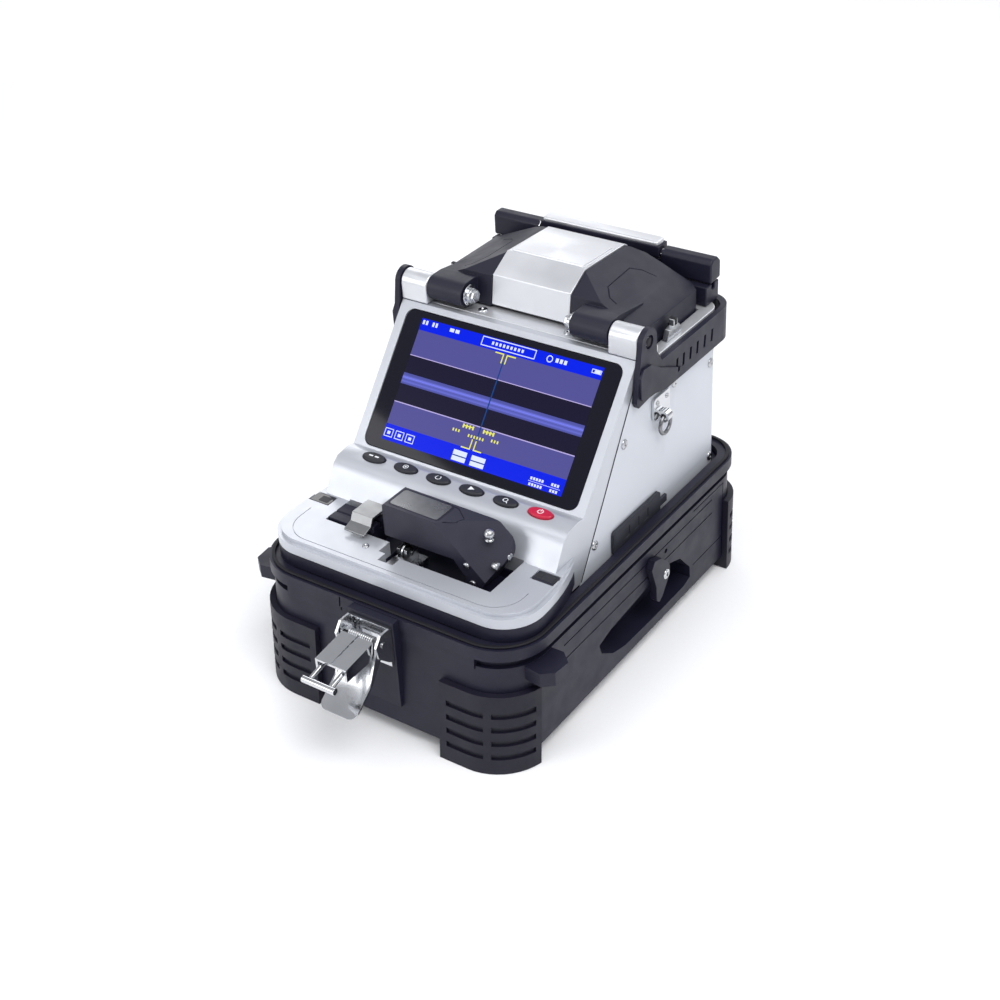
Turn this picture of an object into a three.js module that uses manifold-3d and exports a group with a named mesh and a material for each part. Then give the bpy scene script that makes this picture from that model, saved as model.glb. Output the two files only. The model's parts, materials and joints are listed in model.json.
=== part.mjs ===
// Fiber fusion splicer standing in the lower half of its carrying case.
// Millimetres. X to the operator's right, Y to the back, Z up.
// The origin is under the middle of the case, on the surface it stands on.

import * as THREE from 'three';
import { mergeVertices } from 'three/addons/utils/BufferGeometryUtils.js';
import Module from 'manifold-3d';

const wasm = await Module();
wasm.setup();

// ---------------------------------------------------------------- driving dimensions

const GAP = 0.3; // space left between two pieces that touch
const CURVE_STEPS = 6; // straight steps in each quarter-round corner

const CASE = {
  halfWidth: 78.4,
  halfDepth: 110.5,
  frontCorner: 25,
  rearCorner: 18,
  bottom: 7,
  wall: 2.6,
  floor: 3.2,
  rake: 0.00075, // the front leans back by this share of its depth for each millimetre of height
  wallTop: 57.5,
  neck: 2.5, // depth of the recess between wall and rim, along the sides
  rim: 2, // how far the rim stands proud of the walls
  rimBottom: 62.5,
  rimTop: 68.5,
  rimInset: 5.7, // from the walls' outside to the rim's opening
};

// The plain stretch of wall in the middle of the front and of the rear, up to the rim.
const CASE_FILL = { halfWidth: 56, proud: 1, bottom: 56 };

// The flat boss behind each latch.
const BOSS = { halfWidth: 13.5, face: 110.8, bottom: 18, top: 68 };

const RIM_SEAL = { outer: 0.6, inner: 1.2, thick: 1 };

const BUMPER = { top: 44, proud: 3.6, fromX: 37.5, fromY: 92, tuck: 12 };

const POCKET = { depth: 13, wall: 3.2 }; // finger pockets in the case's sides

const LUG = { y: 24.5, z: 38.5, bore: 2.3, pin: 1.95, post: 4, thick: 3.6 };

const BODY = {
  halfWidth: 69.5,
  rear: 101.4,
  bottom: 55, // just above the pan's floor
  corner: 9,
  sheet: 1.2, // thickness of the panels
  panelTop: 146.2,
  rearPanelHalf: 59,
};

// The black pan under the instrument, which stands inside the case.
const PAN = {
  halfWidth: 72.4,
  front: -98.6,
  rear: 104.4,
  frontCorner: 22,
  rearCorner: 12,
  low: 52.6,
  floor: 54.7,
  ledge: 64.7,
  wall: 2,
};

// The skirt between the case's rim and the front tray, and the neck below it, as insets from the tray.
const SKIRT = { neck: 4.2, inside: 6 };

const TRAY = {
  halfWidth: 76.4,
  front: -99.2,
  corner: 20.5,
  neck: 69.2,
  bottom: 76.3,
  shoulder: 81.6,
  top: 83.8,
  step: 2,
};

// The screen's plane: a point on it, and its tilt from the horizontal.
const SCREEN = {
  y: -27.4,
  z: 105.3,
  tilt: THREE.MathUtils.degToRad(50.5),
  glassHalfWidth: 64,
  glassLow: -5,
  glassHigh: 68,
  corner: 5,
  frameTop: 71.5,
};

const BUTTON = { count: 6, pitch: 20, length: 14, width: 7, y: -39, top: 102.1, bottom: 96.6, tilt: 0.06 };

const DECK = { bottom: 146.5, floor: 149, lip: 155, strip: 160.6, stripFront: 22.2, stripRear: 37.6 };
const DECK_WELL = { halfWidth: 62.8, front: 38.4, rear: 90.2 };

// The wind cover and the carrying handle turn about one axis along X.
const HINGE = {
  y: 24,
  z: 169,
  pinRadius: 2.4,
  bore: 2.65,
  barrel: 6.6,
  barrelIn: 32,
  barrelOut: 53,
  lug: 6.3,
  lugIn: 53.5,
  lugOut: 69.5,
};

const COVER = {
  halfWidth: 62,
  bottom: 150,
  front: 31.4,
  rear: 89,
  wall: 2.4,
  plateHalfWidth: 23,
  plate: 1.4,
};

const HANDLE = {
  inside: 69.8,
  outside: 72.7,
  pad: 73.9,
  crossbarFront: 107.5,
  crossbarRear: 112,
  corner: 14,
  bottom: 136,
  top: 154,
  eye: 7, // radius of the arm's end round the pin
};

const HEATER = {
  baseFront: 93,
  baseRear: 106,
  baseHalf: 65.5,
  front: 96.6,
  rear: 106.6,
  bottom: 155.3,
  shelf: 165.7,
  top: 179,
  lidTop: 183,
  lidHalf: 36,
  half: 66,
};

// The strap rings, which hang from clips on the side panels.
const RING = { x: 73, y: 39, z: 117, radius: 5, wire: 1, eyeZ: 122 };

const FIBER = { y: 63, z: 157.5 }; // where the two fibers meet

const CLEAVER = { front: -75, rear: -57.5, pivotX: 34.8, pivotZ: 76.8 };

const BLADE = { y: -73, z: 80.2, bottom: 71.3 };

const LATCH = { pivotY: -118, pivotZ: 60, armY: -121, armZ: 55.5, tipY: -141.5, tipZ: 56.5 };

// ---------------------------------------------------------------- materials

const paint = (color, roughness, metalness) => new THREE.MeshStandardMaterial({
  color,
  roughness,
  metalness,
  flatShading: true,
});

const MATERIAL = {
  black: paint(0x34353f, 0.5, 0),
  rubber: paint(0x262730, 0.85, 0),
  pearl: paint(0xd3d7de, 0.38, 0.35),
  sheet: paint(0xdfe2e5, 0.45, 0.2),
  brushed: paint(0xc3c6cb, 0.34, 0.85),
  chrome: paint(0xc9cdd4, 0.12, 1),
  steel: paint(0xaab0b6, 0.3, 1),
  glass: paint(0x101220, 0.08, 0),
  board: paint(0x1f5a3c, 0.6, 0),
  key: paint(0x3c4149, 0.45, 0),
  power: paint(0xc4143a, 0.4, 0),
  grey: paint(0x565c66, 0.7, 0),
  battery: paint(0x23262b, 0.6, 0),
};

// ---------------------------------------------------------------- solid modelling helpers

function toSolid(geometry) {
  const bare = geometry.clone();
  bare.deleteAttribute('normal');
  bare.deleteAttribute('uv');
  const merged = mergeVertices(bare, 1e-4);
  return new wasm.Manifold(new wasm.Mesh({
    numProp: 3,
    vertProperties: Float32Array.from(merged.attributes.position.array),
    triVerts: Uint32Array.from(merged.index.array),
  }));
}

function toGeometry(solid) {
  const mesh = solid.getMesh();
  const geometry = new THREE.BufferGeometry();
  geometry.setAttribute('position', new THREE.BufferAttribute(Float32Array.from(mesh.vertProperties), 3));
  geometry.setIndex(new THREE.BufferAttribute(Uint32Array.from(mesh.triVerts), 1));
  return geometry;
}

function combine(operation, geometries) {
  const [first, ...others] = geometries.map(toSolid);
  return toGeometry(others.reduce((whole, piece) => whole[operation](piece), first));
}

const join = (...geometries) => combine('add', geometries);
const cut = (...geometries) => combine('subtract', geometries);
const common = (...geometries) => combine('intersect', geometries);

// The mirror image across the plane x = 0, with its faces still pointing out.
function mirrored(geometry) {
  const copy = geometry.index ? geometry.toNonIndexed() : geometry.clone();
  const positions = copy.attributes.position;
  for (let i = 0; i < positions.count; i += 1) {
    positions.setX(i, -positions.getX(i));
  }
  const corner = new THREE.Vector3();
  const other = new THREE.Vector3();
  for (let i = 0; i < positions.count; i += 3) {
    corner.fromBufferAttribute(positions, i + 1);
    other.fromBufferAttribute(positions, i + 2);
    positions.setXYZ(i + 1, other.x, other.y, other.z);
    positions.setXYZ(i + 2, corner.x, corner.y, corner.z);
  }
  copy.deleteAttribute('normal');
  copy.deleteAttribute('uv');
  return mergeVertices(copy, 1e-4);
}

function box(x0, x1, y0, y1, z0, z1) {
  const geometry = new THREE.BoxGeometry(x1 - x0, y1 - y0, z1 - z0);
  return geometry.translate((x0 + x1) / 2, (y0 + y1) / 2, (z0 + z1) / 2);
}

function extrude(shape, depth, steps = CURVE_STEPS) {
  return new THREE.ExtrudeGeometry(shape, { depth, bevelEnabled: false, curveSegments: steps });
}

const TURN_TO_X = new THREE.Matrix4().makeBasis(
  new THREE.Vector3(0, 1, 0),
  new THREE.Vector3(0, 0, 1),
  new THREE.Vector3(1, 0, 0),
);

const polygon = (points) => new THREE.Shape(points.map(([u, v]) => new THREE.Vector2(u, v)));

// A shape drawn in (y, z), extruded from x0 to x1.
function alongX(shape, x0, x1, steps) {
  return extrude(shape, x1 - x0, steps).applyMatrix4(TURN_TO_X).translate(x0, 0, 0);
}

// A shape drawn in (x, z), extruded from y0 to y1.
function alongY(shape, y0, y1, steps) {
  return extrude(shape, y1 - y0, steps).rotateX(Math.PI / 2).translate(0, y1, 0);
}

// A shape drawn in (x, y), extruded from z0 to z1.
function alongZ(shape, z0, z1, steps) {
  return extrude(shape, z1 - z0, steps).translate(0, 0, z0);
}

// A rectangle with one radius at each corner, from (x0, y0) to (x1, y1).
function roundedRect(x0, x1, y0, y1, lowRadius, highRadius = lowRadius) {
  const shape = new THREE.Shape();
  shape.moveTo(x0 + lowRadius, y0);
  shape.lineTo(x1 - lowRadius, y0);
  shape.absarc(x1 - lowRadius, y0 + lowRadius, lowRadius, -Math.PI / 2, 0);
  shape.lineTo(x1, y1 - highRadius);
  shape.absarc(x1 - highRadius, y1 - highRadius, highRadius, 0, Math.PI / 2);
  shape.lineTo(x0 + highRadius, y1);
  shape.absarc(x0 + highRadius, y1 - highRadius, highRadius, Math.PI / 2, Math.PI);
  shape.lineTo(x0, y0 + lowRadius);
  shape.absarc(x0 + lowRadius, y0 + lowRadius, lowRadius, Math.PI, 1.5 * Math.PI);
  return shape;
}

// The case's outline, grown outwards by the given amount.
function caseOutline(grow) {
  const x = CASE.halfWidth + grow;
  const y = CASE.halfDepth + grow;
  return roundedRect(-x, x, -y, y, CASE.frontCorner + grow, CASE.rearCorner + grow);
}

// Leans everything in front of the middle back, by more the higher it is.
function raked(geometry) {
  const copy = geometry.clone();
  const positions = copy.attributes.position;
  for (let i = 0; i < positions.count; i += 1) {
    const y = positions.getY(i);
    positions.setY(i, y < 0 ? y * (1 - CASE.rake * positions.getZ(i)) : y);
  }
  return copy;
}

// The points of an anticlockwise outline, each moved so that every side moves out by the given amount.
function grown(points, amount) {
  return points.map(([u, v], i) => {
    const [u0, v0] = points.at(i - 1);
    const [u1, v1] = points[(i + 1) % points.length];
    const before = new THREE.Vector2(v - v0, u0 - u).normalize();
    const after = new THREE.Vector2(v1 - v, u - u1).normalize();
    const reach = amount / (1 + before.dot(after));
    return [u + (before.x + after.x) * reach, v + (before.y + after.y) * reach];
  });
}

function cylinderX(radius, x0, x1, y, z, sides = 24) {
  const geometry = new THREE.CylinderGeometry(radius, radius, x1 - x0, sides);
  return geometry.rotateZ(-Math.PI / 2).translate((x0 + x1) / 2, y, z);
}

function cylinderY(radius, y0, y1, x, z, sides = 24) {
  const geometry = new THREE.CylinderGeometry(radius, radius, y1 - y0, sides);
  return geometry.translate(x, (y0 + y1) / 2, z);
}

function cylinderZ(radius, z0, z1, x, y, sides = 24) {
  const geometry = new THREE.CylinderGeometry(radius, radius, z1 - z0, sides);
  return geometry.rotateX(Math.PI / 2).translate(x, y, (z0 + z1) / 2);
}

// Places a geometry made in the screen's own frame: X across, Y up the glass, Z out of it.
function onScreen(geometry) {
  return geometry.rotateX(SCREEN.tilt).translate(0, SCREEN.y, SCREEN.z);
}

const screenY = (t) => SCREEN.y + t * Math.cos(SCREEN.tilt);
const screenZ = (t) => SCREEN.z + t * Math.sin(SCREEN.tilt);

// ---------------------------------------------------------------- assembly

const splicer = new THREE.Group();
splicer.name = 'fiber_fusion_splicer';

function add(name, geometry, material, parent = splicer) {
  const mesh = new THREE.Mesh(geometry, material);
  mesh.name = name;
  parent.add(mesh);
  return mesh;
}

function addPair(name, geometry, material) {
  add(`${name}_right`, geometry, material);
  add(`${name}_left`, mirrored(geometry), material);
}

// ---------------------------------------------------------------- case base

// The finger pocket's boat-like outline in (y, z), grown by the given amount.
function pocketOutline(grow) {
  return polygon(grown([
    [-33, 24],
    [-22, 17],
    [-10, 14],
    [20, 13],
    [50, 13],
    [57, 15],
    [56.5, 22],
    [46, 33.5],
    [30, 39],
    [5, 35.5],
    [-24, 33],
    [-35, 30],
  ], grow));
}

// Walls, the recess above them along the sides, and the rim.
function makeCaseOutside() {
  const { wallTop, neck, rim, rimBottom, rimTop, bottom } = CASE;
  const { halfWidth, proud, bottom: fillBottom } = CASE_FILL;
  const overlap = 0.5;
  return join(
    alongZ(caseOutline(0), bottom, wallTop),
    alongZ(caseOutline(-neck), wallTop - overlap, rimBottom + overlap),
    alongZ(caseOutline(rim), rimBottom, rimTop),
    common(alongZ(caseOutline(proud), fillBottom, rimTop), box(-halfWidth, halfWidth, -120, 120, 0, 80)),
  );
}

function makeCaseCavity() {
  const { wall, bottom, floor, wallTop, rimInset, rimTop } = CASE;
  return join(
    alongZ(caseOutline(-wall), bottom + floor, wallTop - 0.5),
    alongZ(caseOutline(-rimInset), wallTop - 1, rimTop + 1),
  );
}

// The four blocks that the instrument's pan stands on.
function makeLedges() {
  const ledge = box(58, 68, 76, 98, CASE.bottom + 2, PAN.low - GAP);
  const ledges = [ledge, mirrored(ledge)];
  return [...ledges, ...ledges.map((piece) => piece.clone().rotateZ(Math.PI))];
}

function makeCaseBase() {
  const inner = CASE.halfWidth - POCKET.depth;
  const cup = alongX(pocketOutline(POCKET.wall), inner - POCKET.wall, CASE.halfWidth - 1);
  const pocket = alongX(pocketOutline(0), inner, CASE.halfWidth + 10);
  const post = cylinderX(LUG.post, inner - 1, CASE.halfWidth, LUG.y, LUG.z, 16);
  const pin = cylinderX(LUG.pin, CASE.halfWidth - 1, CASE.halfWidth + LUG.thick + 1, LUG.y, LUG.z, 12);
  const shell = join(
    cut(
      join(cut(makeCaseOutside(), makeCaseCavity()), cup, mirrored(cup)),
      pocket,
      mirrored(pocket),
    ),
    post,
    mirrored(post),
    pin,
    mirrored(pin),
    ...makeLedges(),
  );
  const ear = alongZ(polygon([
    [75, -93.5],
    [84.5, -95],
    [90, -90.5],
    [91, -81],
    [85, -75.5],
    [77, -75.5],
    [77, -85],
  ]), 49.5, 57);
  const { halfWidth, face, bottom, top } = BOSS;
  const notch = box(-halfWidth - 0.5, halfWidth + 0.5, face, 120, CASE_FILL.bottom - 1, 80);
  const insideWall = 1 - CASE.halfDepth;
  const frontBoss = alongX(polygon([
    [-face, bottom],
    [insideWall * (1 - CASE.rake * bottom), bottom],
    [insideWall * (1 - CASE.rake * top), top],
    [-face, top],
  ]), -halfWidth, halfWidth);
  const rearBoss = box(-halfWidth, halfWidth, -insideWall, face, bottom, top);
  return join(cut(raked(shell), notch), ear, mirrored(ear), frontBoss, rearBoss);
}

// One front and one rear corner bumper on the right side.
function makeBumpers() {
  const { proud, top, tuck, fromX, fromY } = BUMPER;
  const ring = cut(
    alongZ(caseOutline(proud), 0, top),
    alongZ(caseOutline(GAP), CASE.bottom - GAP, top + 1),
    alongZ(caseOutline(-tuck), -1, top + 1),
  );
  const front = common(ring, box(fromX, 90, -120, -fromY, -1, top + 1));
  const rear = common(ring, box(fromX, 90, fromY, 120, -1, top + 1));
  return { front: raked(front), rear };
}

function makeRimSeal() {
  const bottom = CASE.rimTop + GAP;
  const top = bottom + RIM_SEAL.thick;
  return raked(cut(
    alongZ(caseOutline(RIM_SEAL.outer), bottom, top),
    alongZ(caseOutline(-RIM_SEAL.inner), bottom - 1, top + 1),
  ));
}

function makeStrapLug() {
  const lever = alongX(polygon([
    [10, 49],
    [14.5, 36],
    [15, 27.5],
    [17.5, 25],
    [21, 27],
    [28.5, 37],
    [28, 43],
    [20, 51],
    [13, 53],
  ]), CASE.halfWidth + 0.4, CASE.halfWidth + 0.4 + LUG.thick);
  return cut(lever, cylinderX(LUG.bore, 70, 90, LUG.y, LUG.z, 16));
}

add('case_base', makeCaseBase(), MATERIAL.black);
add('rim_seal', makeRimSeal(), MATERIAL.rubber);
Object.entries(makeBumpers()).forEach(([end, bumper]) => {
  addPair(`bumper_${end}`, bumper, MATERIAL.rubber);
});
addPair('strap_lug', makeStrapLug(), MATERIAL.black);

// ---------------------------------------------------------------- instrument body

// The line where each side panel meets the front housing, as y at a given height.
const SEAM = { y: -35.7, z: 64.5, slope: 0.611 };
const seamY = (z) => SEAM.y + SEAM.slope * (z - SEAM.z);
const seamZ = (y) => SEAM.z + (y - SEAM.y) / SEAM.slope;

// The black lower housing: a pan that stands in the case, with a skirt up to the front tray
// and a ledge round the sheet metal body.
function makeLowerHousing() {
  const { wall, low, floor, ledge, front, rear, halfWidth, frontCorner, rearCorner } = PAN;
  const outline = (inset) => roundedRect(
    -halfWidth + inset,
    halfWidth - inset,
    front + inset,
    rear - inset,
    frontCorner - inset,
    rearCorner - inset,
  );
  const edge = BODY.halfWidth + GAP;
  const skirtBottom = CASE.rimTop + GAP;
  const pan = cut(
    join(
      alongZ(outline(0), low, ledge),
      alongZ(trayOutline(SKIRT.neck), ledge - 1, skirtBottom + 0.5),
      alongZ(trayOutline(0), skirtBottom, TRAY.bottom - GAP),
    ),
    alongZ(outline(wall), floor, ledge - wall),
    alongZ(trayOutline(SKIRT.inside), floor, 90),
    alongZ(roundedRect(-edge, edge, -60, BODY.rear + GAP, 1, BODY.corner), floor, 90),
  );
  const standoff = (x, y) => cylinderZ(3, floor - 0.5, 88.7, x, y, 12);
  return join(pan, standoff(-60, -16), standoff(60, -16), standoff(-60, 88), standoff(60, 88));
}

// The sheet metal that wraps the body's sides and rear, open at the front.
function makeWrap() {
  const { halfWidth, rear, sheet, bottom, panelTop, corner } = BODY;
  const inside = halfWidth - sheet;
  return cut(
    alongZ(roundedRect(-halfWidth, halfWidth, -60, rear, 1, corner), bottom, panelTop),
    alongZ(roundedRect(-inside, inside, -70, rear - sheet, 1, corner - sheet), bottom - 1, panelTop + 1),
  );
}

function makeSidePanel() {
  const outline = polygon([
    [seamY(64.5) + GAP, 50],
    [110, 50],
    [110, 150],
    [seamY(150) + GAP, 150],
    [seamY(64.5) + GAP, 64.5],
  ]);
  return common(makeWrap(), alongX(outline, BODY.rearPanelHalf, 80));
}

function makeRearPanel() {
  const half = BODY.rearPanelHalf - GAP;
  return common(makeWrap(), box(-half, half, BODY.rear - 5, BODY.rear + 1, 50, 150));
}

// The front tray's outline seen from above, narrowing at the back to the body's width.
function trayOutline(inset) {
  const x = TRAY.halfWidth - inset;
  const front = TRAY.front + inset;
  const radius = TRAY.corner - inset;
  const { neck } = TRAY;
  const shape = new THREE.Shape();
  shape.moveTo(-x + radius, front);
  shape.lineTo(x - radius, front);
  shape.absarc(x - radius, front + radius, radius, -Math.PI / 2, 0);
  shape.quadraticCurveTo(x, -58, neck, -40);
  shape.lineTo(-neck, -40);
  shape.quadraticCurveTo(-x, -58, -x, front + radius);
  shape.absarc(-x + radius, front + radius, radius, Math.PI, 1.5 * Math.PI);
  return shape;
}

function makeTray() {
  return join(
    alongZ(trayOutline(0), TRAY.bottom, TRAY.shoulder),
    alongZ(trayOutline(TRAY.step), TRAY.shoulder - 0.5, TRAY.top),
  );
}

function makeFrontHousing() {
  const top = [screenY(SCREEN.frameTop), screenZ(SCREEN.frameTop)];
  const face = [[-57, 83], [-53.4, 88.8], [-50.6, 94], [-48.2, 97.4], [-44.7, 100], [-36.5, 101.1],
    [screenY(-6.6), screenZ(-6.6)], top];
  const seam = DECK.stripFront - GAP;
  const back = [[seam, top[1]], [seam, 157], [19.2, 157], [-29.4, 97.6], [-36.5, 97.9], [-43.4, 97],
    [-45.8, 95], [-48, 91.8], [-50.8, 86.6], [-53.4, TRAY.bottom + 1], [-57, TRAY.bottom + 1]];
  const skin = alongX(polygon([...face, ...back]), -69.2, 69.2);
  const cheek = alongX(polygon([
    ...face,
    [seam, top[1]],
    [seam, seamZ(seam)],
    [seamY(PAN.ledge + GAP), PAN.ledge + GAP],
    [-50, PAN.ledge + GAP],
    [-57, TRAY.bottom + 0.5],
  ]), 66.2, 69.2);
  const low = SCREEN.glassLow - GAP;
  const high = SCREEN.glassHigh + GAP;
  const half = SCREEN.glassHalfWidth + GAP;
  const window = onScreen(alongZ(roundedRect(-half, half, low, high, SCREEN.corner), -8, 5, 3));
  const bays = [
    box(-54, 51.2, -75.4, -56, 70, 90),
    box(-14, 51.2, -84, -60, 70, 90),
    box(-10, -1, -90, -80, 70, 90),
    box(60.7, 73.3, -65.5, -57.5, TRAY.top - 0.8, 90),
    box(-73.3, -60.7, -65.5, -57.5, TRAY.top - 0.8, 90),
  ];
  const keyholes = buttonCentres().map((x) => keyGeometry(x, GAP, 90, 110));
  return cut(join(makeTray(), skin, cheek, mirrored(cheek)), window, ...bays, ...keyholes);
}

const buttonCentres = () => Array.from(
  { length: BUTTON.count },
  (_, i) => (i - (BUTTON.count - 1) / 2) * BUTTON.pitch,
);

function keyGeometry(x, grow, bottom, top) {
  const halfLength = BUTTON.length / 2 + grow;
  const halfWidth = BUTTON.width / 2 + grow;
  const outline = new THREE.Shape();
  outline.absellipse(0, 0, halfLength, halfWidth, 0, 2 * Math.PI);
  const key = alongZ(outline, bottom - BUTTON.top, top - BUTTON.top, 10);
  return key.rotateX(BUTTON.tilt).translate(x, BUTTON.y, BUTTON.top);
}

function makeKeypadBoard() {
  return box(-60, 60, -45, -33.6, 92.2, 93.8);
}

function makeGlass() {
  const { glassHalfWidth: half, glassLow, glassHigh, corner } = SCREEN;
  return onScreen(alongZ(roundedRect(-half, half, glassLow, glassHigh, corner), -1.5, -0.3, 3));
}

function makeLcd() {
  return onScreen(box(-61, 61, -3, 66, -6.5, -1.8));
}

function makeDeck() {
  const profile = polygon([
    [seamY(DECK.bottom) + GAP, DECK.bottom],
    [BODY.rear, DECK.bottom],
    [BODY.rear, DECK.lip],
    [DECK.stripRear, DECK.lip],
    [DECK.stripRear, DECK.strip],
    [DECK.stripFront, DECK.strip],
    [DECK.stripFront, 156.6],
    [seamY(156.6) + GAP, 156.6],
  ]);
  const half = BODY.halfWidth;
  const plan = alongZ(roundedRect(-half, half, 0, BODY.rear, 1, BODY.corner), 140, 165);
  const { halfWidth, front, rear } = DECK_WELL;
  const well = box(-halfWidth, halfWidth, front, rear, DECK.floor, 170);
  const cameraPort = box(-9, 9, 66, 74, 140, 160);
  const screenRoom = onScreen(box(-65.8, 65.8, 0, 67, -8, 5));
  return cut(common(alongX(profile, -half, half), plan), well, cameraPort, screenRoom);
}

function makePortCover() {
  const outside = BODY.halfWidth + GAP + 1.8;
  const flap = alongX(roundedRect(-8, 37, PAN.ledge + GAP, 78.5, 2), BODY.halfWidth + GAP, outside, 3);
  const tab = box(outside - 1.4, outside, 36, 43.5, 69, 73);
  return join(flap, tab);
}

add('lower_housing', makeLowerHousing(), MATERIAL.black);
add('battery_pack', box(-48, 48, 24, 90, BODY.bottom, 84), MATERIAL.battery);
add('main_board', box(-63, 63, -22, 96, 89, 90.6), MATERIAL.board);
add('camera_module', join(
  box(-22, 22, 50, 84, 112, 124),
  box(-34, -24, 60, 80, 112, 140),
  box(24, 34, 60, 80, 112, 140),
  box(-35, 35, 62, 78, 108, 113),
), MATERIAL.black);
add('front_housing', makeFrontHousing(), MATERIAL.pearl);
add('keypad_board', makeKeypadBoard(), MATERIAL.board);
buttonCentres().forEach((x, i) => {
  const isPower = i === BUTTON.count - 1;
  const name = isPower ? 'button_power' : `button_${i + 1}`;
  add(name, keyGeometry(x, 0, BUTTON.bottom, BUTTON.top), isPower ? MATERIAL.power : MATERIAL.key);
});
add('screen_glass', makeGlass(), MATERIAL.glass);
add('lcd_module', makeLcd(), MATERIAL.steel);
addPair('side_panel', makeSidePanel(), MATERIAL.sheet);
add('rear_panel', makeRearPanel(), MATERIAL.sheet);
add('top_deck', makeDeck(), MATERIAL.brushed);
add('port_cover', makePortCover(), MATERIAL.grey);

// ---------------------------------------------------------------- strap rings

function makeStrapClip() {
  const plate = alongX(roundedRect(31, 47, 121.5, 133.5, 2), BODY.halfWidth + GAP, 71.2, 3);
  const eye = cylinderY(3.1, RING.y - 2.2, RING.y + 2.2, RING.x, RING.eyeZ, 20);
  const hole = cylinderY(1.75, RING.y - 4, RING.y + 4, RING.x, RING.eyeZ, 20);
  return cut(join(plate, eye), hole);
}

function makeRing() {
  return new THREE.TorusGeometry(RING.radius, RING.wire, 8, 24)
    .rotateY(Math.PI / 2)
    .translate(RING.x, RING.y, RING.z);
}

addPair('strap_clip', makeStrapClip(), MATERIAL.chrome);
addPair('strap_ring', makeRing(), MATERIAL.chrome);

// ---------------------------------------------------------------- hinge, handle and wind cover

function makeHingeLug() {
  const { y, z, lug, lugIn, lugOut, bore } = HINGE;
  const block = box(lugIn, lugOut, y - lug, y + lug, DECK.strip + GAP, z);
  const knuckle = cylinderX(lug, lugIn, lugOut, y, z, 32);
  return cut(join(block, knuckle), cylinderX(bore, lugIn - 1, lugOut + 1, y, z));
}

function makeHingePin() {
  const shaft = cylinderX(HINGE.pinRadius, 30, HANDLE.outside - 0.5, HINGE.y, HINGE.z);
  const head = cylinderX(4, 28.4, 31.6, HINGE.y, HINGE.z, 20);
  return join(shaft, head);
}

// Two flat arms from the hinge pins and one bar across the rear.
function makeHandle() {
  const { inside, outside, pad, crossbarFront, crossbarRear, corner, bottom, top, eye } = HANDLE;
  const outer = roundedRect(-outside, outside, 0, crossbarRear, 1, corner);
  const inner = roundedRect(-inside, inside, -10, crossbarFront, 1, corner - 4);
  const plan = cut(alongZ(outer, 125, 185), alongZ(inner, 120, 190));
  const arm = polygon([
    [17, HINGE.z],
    [14.2, 152],
    [12.3, 141],
    [14, 138],
    [24, 139],
    [30, 138.6],
    [40, bottom],
    [crossbarRear, bottom],
    [crossbarRear, top],
    [36, top],
    [31, 161],
    [31, HINGE.z],
  ]);
  const plates = join(alongX(arm, -90, 90), cylinderX(eye, -90, 90, HINGE.y, HINGE.z, 32));
  const raised = alongX(polygon([
    [14.5, 143],
    [16.5, 141],
    [24, 141.5],
    [36, 138.5],
    [54, 137.5],
    [54, 142],
    [45, 146],
    [33, 151.5],
    [24, 157.2],
    [17, 157.8],
    [14.3, 154],
  ]), outside - 0.5, pad);
  const bore = cylinderX(HINGE.bore, -90, 90, HINGE.y, HINGE.z);
  const recess = cylinderX(3.5, outside - 1.1, 90, HINGE.y, HINGE.z);
  return cut(
    join(common(plan, plates), raised, mirrored(raised)),
    bore,
    recess,
    mirrored(recess),
  );
}

// The wind cover's section in (y, z), shrunk inwards by the given amount.
function coverSide(inset, bottom, step) {
  return polygon([
    [COVER.front + inset, step],
    [COVER.front + 2.3 + inset, 177.3 - inset],
    [47 + 0.4 * inset, 185 - inset],
    [84.7 - 0.4 * inset, 183.4 - inset],
    [88.2 - inset, 180.2 - inset],
    [COVER.rear - inset, 176 - inset],
    [COVER.rear - inset, bottom],
    [DECK_WELL.front + 0.6 + inset, bottom],
    [DECK_WELL.front + 0.6 + inset, step],
  ]);
}

// The wind cover's outline seen from the front, in (x, z).
function coverFront(inset, bottom) {
  const half = [[23, 185 - inset], [35, 179.6 - inset], [50, 173 - inset], [59 - inset, 169.4 - inset],
    [COVER.halfWidth - inset, 166 - inset], [COVER.halfWidth - inset, bottom]];
  const other = half.map(([x, z]) => [-x, z]).reverse();
  return polygon([...other, ...half]);
}

// The bent centre plate's section: its outer line, then its inner line, in (y, z).
function plateLine(inset) {
  return [
    [COVER.front + inset, 162.6],
    [COVER.front + 2.3 + inset, 178.1 - 0.6 * inset],
    [47.1 + 0.3 * inset, 185.7 - inset],
    [84.7 - 0.4 * inset, 184.1 - inset],
    [87.6 - inset, 182.4 - inset],
    [88.6 - inset, 179.5 - inset],
    [88.8 - inset, 170],
  ];
}

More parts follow.
